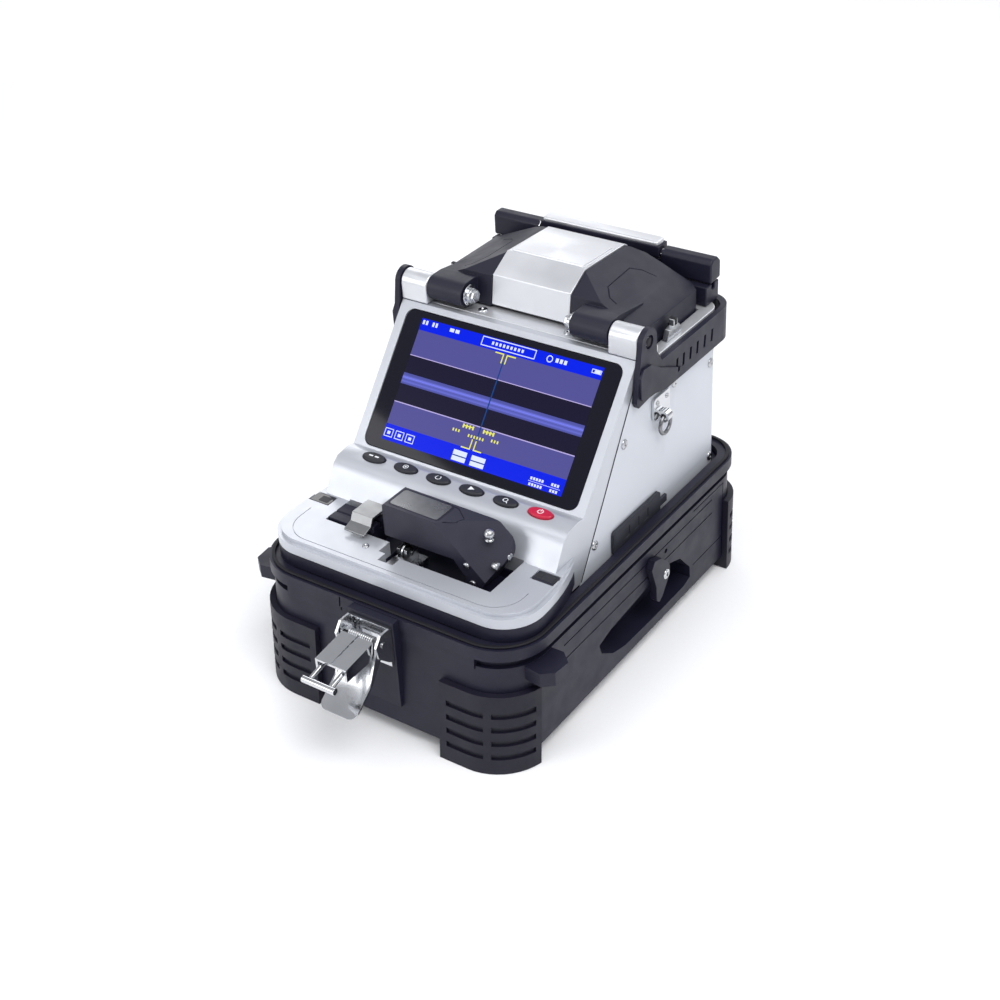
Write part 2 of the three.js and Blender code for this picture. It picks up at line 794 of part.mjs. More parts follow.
function makeCoverShell() {
  const { wall, bottom, halfWidth, plateHalfWidth, plate } = COVER;
  const outside = common(
    alongX(coverSide(0, bottom, 161.4), -halfWidth, halfWidth),
    alongY(coverFront(0, bottom - 1), 20, 100),
  );
  const inside = common(
    alongX(coverSide(wall + 1, bottom - 3, 158), -halfWidth, halfWidth),
    alongY(coverFront(wall + 1, bottom - 4), 20, 100),
  );
  const channel = alongX(polygon([
    ...plateLine(plate + GAP),
    [95, 160], [95, 195], [20, 195], [20, 160], [COVER.front + plate + GAP, 160],
  ]), -plateHalfWidth - GAP, plateHalfWidth + GAP);
  const { barrel, barrelIn, barrelOut, bore } = HINGE;
  const knuckle = join(
    cylinderX(barrel, barrelIn, barrelOut, HINGE.y, HINGE.z),
    alongX(polygon([
      [24, 163.2],
      [40, 162.4],
      [52, 171.5],
      [52, 172.6],
      [30, 175.7],
      [24, 175.6],
    ]), barrelIn, barrelOut),
  );
  const fiberSlot = box(56, 70, FIBER.y - 2.5, FIBER.y + 2.5, 140, 160);
  return cut(
    join(cut(outside, channel), knuckle, mirrored(knuckle)),
    inside,
    cylinderX(bore, -60, 60, HINGE.y, HINGE.z),
    box(-barrelIn + 0.1, barrelIn - 0.1, 15, COVER.front - 0.1, 155, 178),
    fiberSlot,
    mirrored(fiberSlot),
  );
}

// The bent centre plate, with the raised blank panel on its top.
function makeCoverPlate() {
  const outline = [...plateLine(0), ...plateLine(COVER.plate).reverse()];
  const bent = alongX(polygon(outline), -COVER.plateHalfWidth, COVER.plateHalfWidth);
  const surface = (y) => 185.7 - 0.0426 * (y - 47.1);
  const [front, rear] = [48.5, 75.8];
  const panel = polygon([
    [front, surface(front) - 0.5],
    [rear, surface(rear) - 0.5],
    [rear, surface(rear) + 0.9],
    [front, surface(front) + 0.9],
  ]);
  return join(bent, alongX(panel, -21, 21));
}

addPair('hinge_lug', makeHingeLug(), MATERIAL.brushed);
addPair('hinge_pin', makeHingePin(), MATERIAL.steel);
add('carry_handle', makeHandle(), MATERIAL.black);
add('wind_cover_shell', makeCoverShell(), MATERIAL.black);
add('wind_cover_plate', makeCoverPlate(), MATERIAL.brushed);

// ---------------------------------------------------------------- splicing head under the cover

function makeSpliceBlock() {
  const block = box(-15, 15, 52, 74, DECK.floor + GAP, FIBER.z);
  const arcGap = box(-3.5, 3.5, 45, 80, FIBER.z - 4, 170);
  const groove = alongX(polygon([
    [FIBER.y - 1.2, FIBER.z + 1],
    [FIBER.y, FIBER.z - 1],
    [FIBER.y + 1.2, FIBER.z + 1],
  ]), -20, 20);
  const lensWell = box(-9.5, 9.5, 67.5, 80, 140, 170);
  return cut(block, arcGap, groove, lensWell);
}

function makeElectrode() {
  const { y, z } = FIBER;
  const profile = [[0, 1.4], [1.4, 6], [1.4, 8.4], [2.4, 8.8], [2.4, 12.4], [0, 12.4]];
  return new THREE.LatheGeometry(profile.map(([r, h]) => new THREE.Vector2(r, h)), 16)
    .rotateX(Math.PI)
    .translate(0, y, z);
}

function makeCarriage() {
  const sled = box(19, 56, 54, 72, DECK.floor + GAP, 155);
  const holder = box(30, 54, 56, 70, 154.5, FIBER.z + 0.5);
  const lid = box(33, 52, 57, 69, FIBER.z, 160.4);
  const lead = box(19, 31, 60, 66, 154.5, FIBER.z);
  return join(sled, holder, lid, lead);
}

add('splice_block', makeSpliceBlock(), MATERIAL.steel);
const electrode = makeElectrode();
add('electrode_front', electrode, MATERIAL.steel);
add('electrode_rear', electrode.clone().rotateZ(Math.PI).translate(0, 2 * FIBER.y, 0), MATERIAL.steel);
addPair('fiber_carriage', makeCarriage(), MATERIAL.steel);

// ---------------------------------------------------------------- sleeve heater behind the cover

const LID_BOTTOM = HEATER.top - 4.6;

function makeHeaterBody() {
  const { baseFront, baseRear, baseHalf, front, bottom, shelf, lidHalf } = HEATER;
  const base = box(-baseHalf, baseHalf, baseFront, baseRear, bottom, shelf);
  const core = box(-lidHalf, lidHalf, front + 0.6, front + 6.6, shelf - 1, LID_BOTTOM - 0.4);
  const sleeveBed = box(-70, 70, front + 2.2, front + 5.2, shelf - 3.2, 180);
  return cut(join(base, core), sleeveBed);
}

function makeHeaterLid() {
  const { front, lidTop, lidHalf } = HEATER;
  return alongX(polygon([
    [front, LID_BOTTOM],
    [front + 9, LID_BOTTOM],
    [front + 9, lidTop - 2.2],
    [front + 7.2, lidTop - 0.4],
    [front + 1.8, lidTop - 0.4],
    [front, lidTop - 2.2],
  ]), -lidHalf + 0.2, lidHalf - 0.2);
}

function makeHeaterClamp() {
  const { front, rear, shelf, top, lidHalf, half } = HEATER;
  return alongX(polygon([
    [front, shelf + 0.5],
    [rear, shelf + 1.2],
    [rear, top - 3],
    [front + 7.1, top],
    [front + 2.1, top],
    [front, top - 2],
  ]), lidHalf + 0.5, half);
}

add('heater_body', makeHeaterBody(), MATERIAL.black);
add('heater_lid', makeHeaterLid(), MATERIAL.brushed);
addPair('heater_clamp', makeHeaterClamp(), MATERIAL.black);

// ---------------------------------------------------------------- cleaver in the front tray

function makeCleaverBase() {
  const pan = box(-56, 52.4, -91, -54.6, 68, TRAY.bottom - GAP);
  const bay = box(-14, 50.6, -83.6, -56.6, 71, 90);
  const notch = box(-9.6, -1.4, -89.6, -80, 71, 90);
  const holder = box(-53.6, -25, -74, -60, 75, 84.6);
  const rest = box(-40, -25, -73.4, -62, 84, 87.4);
  const groove = box(-54, -24, -68.3, -67.1, 84, 90);
  return cut(join(cut(pan, bay, notch), holder, rest), groove);
}

function makeFiberClip() {
  return alongX(polygon([
    [-60.6, 88.2], [-60.6, 92.4], [-73, 92.4], [-75, 88.4], [-80.6, 86.6], [-80.4, 85.6], [-74.6, 87.2],
    [-72.4, 91.2], [-61.8, 91.2], [-61.8, 88.2],
  ]), -38, -25.4);
}

function makeCleaverArm() {
  const { front, rear, pivotX, pivotZ } = CLEAVER;
  const outline = new THREE.Shape();
  outline.moveTo(-18, 87);
  outline.lineTo(24, 87);
  outline.lineTo(29.5, 80);
  outline.absarc(pivotX, pivotZ, 4.6, 2.6, -0.5, false);
  outline.lineTo(44.6, 84.6);
  outline.absarc(36, 92.4, 11.8, -0.7, Math.PI / 2, false);
  outline.lineTo(-16, 104.9);
  outline.lineTo(-18, 103);
  const block = alongY(outline, front, rear);
  const facet = new THREE.BoxGeometry(80, 80, 40).translate(0, 0, 20);
  const along = new THREE.Vector3(18, 0, -16).normalize();
  const across = new THREE.Vector3(25, rear - front, 0).normalize();
  const out = new THREE.Vector3().crossVectors(along, across).normalize();
  const side = new THREE.Vector3().crossVectors(out, along);
  const frame = new THREE.Matrix4().makeBasis(along, side, out).setPosition(15, front, 103.4);
  const shaved = cut(block, facet.applyMatrix4(frame));
  const hollow = box(-15.6, 22, front + 2.4, rear - 2.4, 80, 100);
  return cut(shaved, hollow, cylinderY(1.6, -90, -50, pivotX, pivotZ, 16));
}

function makeCleaverCarriage() {
  const { y, z, bottom } = BLADE;
  const sled = box(-12.6, 1.6, -80, -66, bottom, 75.2);
  const nose = box(-8.6, -2.4, -88.6, -79, bottom, 80);
  const fork = [
    box(-8.6, -6.6, y - 4, y + 5, 74.5, 83.4),
    box(-4.4, -2.4, y - 4, y + 5, 74.5, 83.4),
  ];
  return cut(join(sled, nose, ...fork), cylinderX(1.3, -10, 0, y, z, 12));
}

function makeBladeWheel() {
  const disc = cylinderX(4.6, -6, -5, BLADE.y, BLADE.z, 32);
  const axle = cylinderX(1.1, -9, -2, BLADE.y, BLADE.z, 12);
  return join(disc, axle);
}

add('cleaver_base', makeCleaverBase(), MATERIAL.black);
add('cleaver_fiber_clip', makeFiberClip(), MATERIAL.steel);
add('cleaver_arm', makeCleaverArm(), MATERIAL.black);
add('cleaver_carriage', makeCleaverCarriage(), MATERIAL.steel);
add('cleaver_blade', makeBladeWheel(), MATERIAL.chrome);

// ---------------------------------------------------------------- case latches

function makeLatchBracket() {
  const plate = box(-12.4, 12.4, -113, -111.1, 44, 66);
  const ear = alongX(polygon([
    [-112, 46],
    [-112, 66],
    [-119, 66],
    [-123, 61],
    [-121.5, 54],
    [-115, 48],
  ]), 11.2, 12.4);
  const bore = cylinderX(1.65, -20, 20, LATCH.pivotY, LATCH.pivotZ, 12);
  return cut(join(plate, ear, mirrored(ear)), bore);
}

function makeLatchLever() {
  const { pivotY, pivotZ } = LATCH;
  const strip = alongX(polygon([
    [pivotY - 2.4, pivotZ - 9],
    [pivotY - 1, pivotZ - 8],
    [-127, 39.6],
    [-141.2, 29.4],
    [-142.2, 30.4],
    [-128.4, 40.6],
  ]), -10.7, 10.7);
  const rail = alongX(polygon([
    [pivotY - 2.6, pivotZ + 2],
    [pivotY + 1.8, pivotZ + 2],
    [pivotY + 1.6, pivotZ - 6],
    [-127, 39.6],
    [-128.4, 40.6],
    [pivotY - 3.6, pivotZ - 4],
  ]), 9.6, 10.7);
  const stub = cylinderX(1.4, 9.8, 12.9, pivotY, pivotZ, 12);
  return join(strip, rail, mirrored(rail), stub, mirrored(stub));
}

function makeLatchArm() {
  const { armY, armZ, tipY, tipZ } = LATCH;
  const side = polygon([
    [armY + 3.4, armZ - 2.6],
    [armY + 3.4, armZ + 5],
    [armY, armZ + 6.8],
    [tipY, tipZ + 3.2],
    [tipY, tipZ - 3.6],
  ]);
  const body = alongX(side, -9.2, 9.2);
  const hollow = alongX(polygon([
    [armY + 5, armZ - 6],
    [armY + 5, armZ + 3.6],
    [armY, armZ + 5.4],
    [tipY - 2, tipZ + 1.8],
    [tipY - 2, tipZ - 8],
  ]), -7.9, 7.9);
  return join(cut(body, hollow), cylinderX(1.3, -9, 9, armY + 1.4, armZ, 12));
}

function makeLatchLoop() {
  const { tipY, tipZ } = LATCH;
  const rod = 1.2;
  const start = new THREE.Vector3(-6.2, tipY + 2.4, tipZ);
  const path = new THREE.CurvePath();
  const corners = [
    start,
    new THREE.Vector3(-6.2, tipY - 9, tipZ - 2.6),
    new THREE.Vector3(6.2, tipY - 9, tipZ - 2.6),
    new THREE.Vector3(6.2, tipY + 2.4, tipZ),
  ];
  for (let i = 0; i < corners.length - 1; i += 1) {
    path.add(new THREE.LineCurve3(corners[i], corners[i + 1]));
  }
  const rods = path.curves.map((line) => {
    const length = line.getLength();
    const geometry = new THREE.CylinderGeometry(rod, rod, length + rod, 12);
    const turn = new THREE.Quaternion().setFromUnitVectors(new THREE.Vector3(0, 1, 0), line.getTangent(0));
    const middle = line.getPoint(0.5);
    return geometry.applyQuaternion(turn).translate(middle.x, middle.y, middle.z);
  });
  const bar = cylinderX(1.8, -9.6, 9.6, tipY - 9, tipZ - 2.6, 16);
  return join(...rods, bar);
}

function addLatch(place, turn) {
  const group = new THREE.Group();
  group.rotation.z = turn;
  splicer.add(group);
  add(`${place}_latch_bracket`, makeLatchBracket(), MATERIAL.chrome, group);
  add(`${place}_latch_lever`, makeLatchLever(), MATERIAL.chrome, group);
  add(`${place}_latch_arm`, makeLatchArm(), MATERIAL.chrome, group);
  add(`${place}_latch_loop`, makeLatchLoop(), MATERIAL.chrome, group);
}

addLatch('front', 0);
addLatch('rear', Math.PI);

export default splicer;
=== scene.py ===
"""Looks of the fiber fusion splicer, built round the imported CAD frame. Metres, Z up."""

import json
import math

import bmesh
import bpy
from mathutils import Matrix, Vector


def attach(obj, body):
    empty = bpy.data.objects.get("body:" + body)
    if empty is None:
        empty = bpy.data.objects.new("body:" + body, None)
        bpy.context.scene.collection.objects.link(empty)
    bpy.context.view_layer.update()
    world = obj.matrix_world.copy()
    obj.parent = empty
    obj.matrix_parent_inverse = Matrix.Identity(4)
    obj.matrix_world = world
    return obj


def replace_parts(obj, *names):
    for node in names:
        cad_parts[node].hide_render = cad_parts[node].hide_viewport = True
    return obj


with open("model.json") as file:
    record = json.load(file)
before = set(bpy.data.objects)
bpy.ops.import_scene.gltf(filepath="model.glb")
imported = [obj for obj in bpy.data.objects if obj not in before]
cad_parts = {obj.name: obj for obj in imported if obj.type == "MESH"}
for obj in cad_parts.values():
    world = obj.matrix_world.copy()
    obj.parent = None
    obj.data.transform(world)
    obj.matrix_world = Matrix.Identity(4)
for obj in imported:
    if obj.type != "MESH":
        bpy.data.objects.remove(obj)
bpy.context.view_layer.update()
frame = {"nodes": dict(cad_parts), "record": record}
scene = bpy.context.scene

MM = 0.001
TAU = 2 * math.pi


# ------------------------------------------------------------------ camera, light and floor

def make_camera():
    """A standard lens from the front right, a little above the splicer."""
    data = bpy.data.cameras.new("camera")
    data.lens = 59.47
    data.sensor_width = 36
    data.clip_start = 0.01
    camera = bpy.data.objects.new("camera", data)
    scene.collection.objects.link(camera)
    right = Vector((0.8237, 0.5650, -0.0480)).normalized()
    back = right.cross(Vector((-0.2754, 0.4726, 0.8372))).normalized()
    turn = Matrix((right, back.cross(right), back)).transposed().to_4x4()
    camera.matrix_world = Matrix.Translation((0.4194, -0.5748, 0.5326)) @ turn
    scene.camera = camera


def area_light(name, place, target, size, power):
    """A soft box; size is its width and height in metres, power is in watts."""
    data = bpy.data.lights.new(name, "AREA")
    data.shape = "RECTANGLE"
    data.size, data.size_y = size
    data.energy = power
    light = bpy.data.objects.new(name, data)
    scene.collection.objects.link(light)
    light.location = place
    light.rotation_euler = (Vector(target) - Vector(place)).to_track_quat("-Z", "Y").to_euler()


def make_studio():
    """A pale sky, five soft boxes and a white paper floor."""
    world = bpy.data.worlds.new("studio")
    scene.world = world
    world.use_nodes = True
    background = world.node_tree.nodes["Background"]
    background.inputs["Color"].default_value = (0.93, 0.95, 1.0, 1)
    background.inputs["Strength"].default_value = 0.5
    centre = (0, 0, 0.09)
    area_light("key", (0.6, -0.25, 1.15), centre, (0.9, 0.9), 11.5)
    area_light("front", (-0.7, -1.1, 0.6), centre, (0.9, 0.6), 5)
    area_light("back", (0.2, 1.1, 0.8), centre, (1.2, 0.5), 3.5)
    area_light("overhead", (-0.3, -0.5, 1.3), centre, (0.7, 0.7), 3)
    area_light("backdrop", (-2.0, 1.8, 1.2), (-1.9, 1.8, 0), (1.6, 1.6), 26)
    scene.view_settings.view_transform = "Standard"
    mesh = bpy.data.meshes.new("floor")
    reach = 6
    corners = [(-reach, -reach, 0), (reach, -reach, 0), (reach, reach, 0), (-reach, reach, 0)]
    mesh.from_pydata(corners, [], [(0, 1, 2, 3)])
    floor = bpy.data.objects.new("floor", mesh)
    scene.collection.objects.link(floor)
    floor.location.z = -0.0002
    floor.data.materials.append(make_material("floor_paper", (0.95, 0.95, 0.96), 0.7, mottle=(2, 0.01)))


# ------------------------------------------------------------------ materials

def make_material(name, color, roughness, metallic=0.0, grain=None, mottle=None, brush=None, worn=0.0,
                  **sockets):
    """A procedural surface. grain=(size mm, depth mm), mottle=(size mm, amount),
    brush=(direction, depth mm) for brushed metal, worn=spread of the roughness."""
    material = bpy.data.materials.new(name)
    material.use_nodes = True
    tree = material.node_tree
    nodes, link = tree.nodes, tree.links.new
    surface = nodes["Principled BSDF"]
    surface.inputs["Base Color"].default_value = (*color, 1)
    surface.inputs["Roughness"].default_value = roughness
    surface.inputs["Metallic"].default_value = metallic
    for key, value in sockets.items():
        surface.inputs[key.replace("_", " ").title().replace("Ior", "IOR")].default_value = value
    place = nodes.new("ShaderNodeTexCoord").outputs["Object"]

    def noise(size_mm, detail=3, stretch=None):
        texture = nodes.new("ShaderNodeTexNoise")
        texture.inputs["Scale"].default_value = 1 / (size_mm * MM)
        texture.inputs["Detail"].default_value = detail
        source = place
        if stretch:
            mapping = nodes.new("ShaderNodeMapping")
            mapping.inputs["Scale"].default_value = stretch
            link(place, mapping.inputs["Vector"])
            source = mapping.outputs["Vector"]
        link(source, texture.inputs["Vector"])
        return texture.outputs["Fac"]

    if mottle:
        size, amount = mottle
        ramp = nodes.new("ShaderNodeMapRange")
        ramp.inputs["From Min"].default_value = 0.3
        ramp.inputs["From Max"].default_value = 0.7
        ramp.inputs["To Min"].default_value = 0
        ramp.inputs["To Max"].default_value = 1
        link(noise(size, 5), ramp.inputs["Value"])
        mix = nodes.new("ShaderNodeMix")
        mix.data_type = "RGBA"
        mix.inputs["A"].default_value = (*[c * (1 - amount) for c in color], 1)
        mix.inputs["B"].default_value = (*[min(1, c * (1 + amount)) for c in color], 1)
        link(ramp.outputs["Result"], mix.inputs["Factor"])
        link(mix.outputs["Result"], surface.inputs["Base Color"])
    if worn:
        spread = nodes.new("ShaderNodeMapRange")
        spread.inputs["From Min"].default_value = 0.35
        spread.inputs["From Max"].default_value = 0.65
        spread.inputs["To Min"].default_value = max(0.02, roughness - worn)
        spread.inputs["To Max"].default_value = min(1, roughness + worn)
        link(noise(9, 6), spread.inputs["Value"])
        link(spread.outputs["Result"], surface.inputs["Roughness"])
    height = None
    if brush:
        direction, depth = brush
        stretch = [1 if axis == direction else 60 for axis in "XYZ"]
        height = (noise(14, 4, stretch), depth)
    elif grain:
        size, depth = grain
        height = (noise(size, 2), depth)
    if height:
        bump = nodes.new("ShaderNodeBump")
        bump.inputs["Distance"].default_value = height[1] * MM
        bump.inputs["Strength"].default_value = 1
        link(height[0], bump.inputs["Height"])
        link(bump.outputs["Normal"], surface.inputs["Normal"])
    return material


def make_glow(name, color):
    """A lit patch of the display, under the gloss of its cover glass."""
    material = make_material(name, [c * 0.2 for c in color], 0.2, specular_ior_level=0.1)
    surface = material.node_tree.nodes["Principled BSDF"]
    surface.inputs["Emission Color"].default_value = (*color, 1)
    surface.inputs["Emission Strength"].default_value = 1
    return material


MAT = {
    "black": make_material("moulded_black", (0.0105, 0.0105, 0.024), 0.44, grain=(0.9, 0.008),
                           mottle=(30, 0.10), worn=0.05, specular_ior_level=0.3),
    "cover_black": make_material("cover_black", (0.0105, 0.011, 0.023), 0.46, grain=(0.8, 0.006),
                                 mottle=(40, 0.08), worn=0.04, specular_ior_level=0.34),
    "arm_black": make_material("cleaver_black", (0.020, 0.020, 0.036), 0.42, grain=(0.8, 0.006),
                               mottle=(20, 0.08), worn=0.05, specular_ior_level=0.4),
    "rubber": make_material("bumper_rubber", (0.0065, 0.006, 0.016), 0.52, grain=(1.2, 0.02),
                            mottle=(20, 0.15), worn=0.06, specular_ior_level=0.35),
    # Dark rubber of the rim seal, the joints and the clamp ledges. It is also painted shade in the hinge
    # holes, the fiber guides' slots and the rear vent slots.
    "seal_and_shade": make_material("seal_rubber", (0.008, 0.008, 0.011), 0.6, grain=(0.8, 0.01),
                          mottle=(15, 0.1), specular_ior_level=0.3),
    "pearl": make_material("pearl_paint", (0.52, 0.54, 0.585), 0.34, 0.45, mottle=(60, 0.02),
                           worn=0.03, coat_weight=0.25, coat_roughness=0.2),
    "panel": make_material("panel_paint", (0.58, 0.605, 0.655), 0.42, 0.1, mottle=(70, 0.02),
                           worn=0.03, coat_weight=0.1, coat_roughness=0.25),
    "brushed": make_material("brushed_aluminium", (0.70, 0.71, 0.74), 0.38, 0.7, brush=("X", 0.002),
                             worn=0.03, anisotropic=0.4),
    "chrome": make_material("chrome", (0.62, 0.63, 0.65), 0.12, 1.0, mottle=(12, 0.04), worn=0.03),
    "steel": make_material("machined_steel", (0.50, 0.51, 0.53), 0.28, 1.0, mottle=(8, 0.06), worn=0.05),
    "glass": make_material("cover_glass", (0.005, 0.005, 0.011), 0.05, mottle=(80, 0.1),
                           specular_ior_level=0.25),
    "key": make_material("key_rubber", (0.022, 0.023, 0.030), 0.5, grain=(0.8, 0.01),
                         mottle=(6, 0.1), specular_ior_level=0.35),
    "power_key": make_material("power_key", (0.50, 0.006, 0.040), 0.38, mottle=(6, 0.08)),
    "flap": make_material("port_flap_rubber", (0.030, 0.032, 0.042), 0.6, grain=(0.8, 0.01),
                          mottle=(10, 0.1), specular_ior_level=0.3),
    "board": make_material("circuit_board", (0.02, 0.10, 0.05), 0.45, mottle=(3, 0.2)),
    "battery": make_material("battery_case", (0.02, 0.02, 0.024), 0.5, grain=(0.8, 0.01), mottle=(20, 0.1)),
    "mark": make_material("key_mark", (0.80, 0.82, 0.84), 0.5, mottle=(2, 0.05)),
    "nickel": make_material("nickel_plate", (0.33, 0.335, 0.34), 0.36, 1.0, mottle=(5, 0.08), worn=0.05),
    "dark_steel": make_material("dark_steel", (0.23, 0.235, 0.245), 0.30, 1.0, mottle=(5, 0.1), worn=0.05),
    "tinted": make_material("tinted_window", (0.012, 0.013, 0.018), 0.12, mottle=(4, 0.1)),
}

NODE_BODY = {
    node: body
    for body, members in frame["record"]["behaviour"]["bodies"].items()
    for node in members
}


# ------------------------------------------------------------------ mesh helpers, in millimetres

def to_object(name, bm, finish, body):
    """Makes a piece of a mesh; finish is a key of MAT or a material, body is what it rides on."""
    bmesh.ops.recalc_face_normals(bm, faces=bm.faces)
    mesh = bpy.data.meshes.new(name)
    bm.to_mesh(mesh)
    bm.free()
    piece = bpy.data.objects.new(name, mesh)
    scene.collection.objects.link(piece)
    if finish:
        piece.data.materials.append(MAT[finish] if isinstance(finish, str) else finish)
    if body:
        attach(piece, body)
    return piece


def soften(piece, width, segments=2, angle=32):
    """Rounds the piece's edges and shades its flats flat."""
    mesh = piece.data
    mesh.shade_smooth()
    mesh.set_sharp_from_angle(angle=math.radians(angle))
    if width:
        bevel = piece.modifiers.new("edges", "BEVEL")
        bevel.width = width * MM
        bevel.segments = segments
        bevel.limit_method = "ANGLE"
        bevel.angle_limit = math.radians(angle)
        bevel.miter_outer = "MITER_ARC"
        bevel.use_clamp_overlap = True
        bevel.harden_normals = True
    normals = piece.modifiers.new("normals", "WEIGHTED_NORMAL")
    normals.keep_sharp = False
    return piece


def bake(piece):
    """Applies the piece's modifiers to its mesh."""
    depsgraph = bpy.context.evaluated_depsgraph_get()
    mesh = bpy.data.meshes.new_from_object(piece.evaluated_get(depsgraph))
    piece.modifiers.clear()
    piece.data = mesh


def subtract(piece, tool):
    """Cuts a tool object out of the piece, and uses the tool up."""
    modifier = piece.modifiers.new("cut", "BOOLEAN")
    modifier.operation = "DIFFERENCE"
    modifier.object = tool
    modifier.solver = "EXACT"
    bake(piece)
    bpy.data.objects.remove(tool)
    return piece


def copy_of(node, finish):
    """A clean copy of a CAD node's mesh, which stands for it."""
    bm = bmesh.new()
    bm.from_mesh(frame["nodes"][node].data)
    bmesh.ops.remove_doubles(bm, verts=bm.verts, dist=0.002 * MM)
    bmesh.ops.dissolve_limit(bm, angle_limit=math.radians(0.4), verts=bm.verts, edges=bm.edges)
    piece = to_object(node + "_shell", bm, finish, NODE_BODY[node])
    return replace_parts(piece, node)


def refine(node, finish, width, segments=2):
    """A copy of a CAD node with rounded edges."""
    return soften(copy_of(node, finish), width, segments)


def arc(cx, cy, radius, start, end, steps):
    """Points along a circle, from one angle to another in degrees."""
    return [
        (cx + radius * math.cos(math.radians(start + (end - start) * i / steps)),
         cy + radius * math.sin(math.radians(start + (end - start) * i / steps)))
        for i in range(steps + 1)
    ]


def bar(x0, x1, t0, t1):
    """A rectangle with sharp corners."""
    return [(x0, t0), (x1, t0), (x1, t1), (x0, t1)]


def rect(x0, x1, y0, y1, radius, steps=5):
    """A rectangle with rounded corners."""
    corners = [Vector(corner) for corner in bar(x0, x1, y0, y1)]
    outline = []
    for i, here in enumerate(corners):
        before = corners[i - 1] - here
        after = corners[(i + 1) % 4] - here
        reach = min(radius, 0.49 * before.length, 0.49 * after.length)
        a, b = here + before.normalized() * reach, here + after.normalized() * reach
        for t in [k / steps for k in range(steps + 1)]:
            outline.append(tuple(a * (1 - t) ** 2 + here * 2 * t * (1 - t) + b * t * t))
    return outline


# The face of the screen: the middle of its lower edge, and the directions up it and out of it.
SCREEN_TILT = math.radians(50.5)
SCREEN_ORIGIN = Vector((0, -27.4, 105.3))
SCREEN_UP = Vector((0, math.cos(SCREEN_TILT), math.sin(SCREEN_TILT)))
SCREEN_OUT = Vector((0, -math.sin(SCREEN_TILT), math.cos(SCREEN_TILT)))

# The top of the cleaver arm, which falls a little to the right.
ARM_START = -16
ARM_TOP = 104.9
ARM_FALL = 0.0135

# How a flat outline (u, v) and a height w along its axis become a point, in millimetres.
AXES = {
    "X": lambda u, v, w: Vector((w, u, v)),
    "Y": lambda u, v, w: Vector((u, w, v)),
    "Z": lambda u, v, w: Vector((u, v, w)),
    "arm": lambda u, v, w: Vector((u, v, ARM_TOP - ARM_FALL * (u - ARM_START) + w)),
    "screen": lambda u, v, w: SCREEN_ORIGIN + Vector((u, 0, 0)) + SCREEN_UP * v + SCREEN_OUT * w,
}


def add_prism(bm, outline, axis, low, high):
    """A straight prism; axis is a key of AXES or a function like those in it."""
    place = AXES[axis] if isinstance(axis, str) else axis
    rings = [[bm.verts.new(place(u, v, w) * MM) for u, v in outline] for w in (low, high)]
    bm.faces.new(rings[0])
    bm.faces.new(list(reversed(rings[1])))
    count = len(outline)
    for i in range(count):
        k = (i + 1) % count
        bm.faces.new((rings[0][i], rings[1][i], rings[1][k], rings[0][k]))


def prisms(name, items, finish, body):
    """Several separate prisms in one piece; items are (outline, axis, low, high)."""
    bm = bmesh.new()
    for item in items:
        add_prism(bm, *item)
    return to_object(name, bm, finish, body)


def prism(name, outline, axis, low, high, finish, body):
    return prisms(name, [(outline, axis, low, high)], finish, body)


def add_lathe(bm, profile, place, sides):
    """Turns a profile of (radius, height) round its axis; place maps (x, y, height) to a point."""
    rings = []
    for radius, height in profile:
        if radius < 1e-6:
            rings.append([bm.verts.new(place(0, 0, height) * MM)])
            continue
        circle = arc(0, 0, radius, 0, 360, sides)[:-1]
        rings.append([bm.verts.new(place(x, y, height) * MM) for x, y in circle])
    for lower, upper in zip(rings, rings[1:]):
        for i in range(sides):
            k = (i + 1) % sides
            corners = [ring[j % len(ring)] for ring, j in ((lower, i), (lower, k), (upper, k), (upper, i))]
            unique = list(dict.fromkeys(corners))
            if len(unique) > 2:
                bm.faces.new(unique)


# ------------------------------------------------------------------ display

ACTIVE_HALF = 54
ACTIVE_HIGH = 64.6
BOTTOM_BAR = 8.4
TOP_BAR = 58.4
GLASS_TOP = -0.3
LAYER = 0.03  # how far each layer of the picture lies above the one below
PATCH = 0.02

GLOW = {
    "blue": make_glow("display_blue", (0.0, 0.012, 0.66)),
    "field": make_glow("display_field", (0.072, 0.068, 0.25)),
    "dark": make_glow("display_dark", (0.008, 0.007, 0.025)),
    "pale": make_glow("display_pale", (0.42, 0.36, 0.66)),
    "white": make_glow("display_white", (0.62, 0.68, 0.9)),
    "yellow": make_glow("display_yellow", (0.72, 0.72, 0.10)),
    "line": make_glow("display_line", (0.006, 0.045, 0.20)),
}


def screen_patch(name, outlines, layer, glow, lift=0.0):
    """Thin flat patches in one layer of the picture, or lifted a little above it."""
    level = GLASS_TOP + LAYER * layer + lift
    prisms(name, [(outline, "screen", level - PATCH, level) for outline in outlines], glow, "base")


def full_width(low, high):
    return bar(-ACTIVE_HALF, ACTIVE_HALF, low, high)


def frame_bars(x0, x1, t0, t1, width):
    """The four bars of an empty frame."""
    return [bar(x0, x1, t0, t0 + width), bar(x0, x1, t1 - width, t1),
            bar(x0, x0 + width, t0, t1), bar(x1 - width, x1, t0, t1)]


def word(x0, pitch, width, t0, t1, letters):
    """A word as plain blocks in a row; letters are the places of the row that are filled."""
    return [bar(x0 + pitch * i, x0 + pitch * i + width, t0, t1) for i in letters]


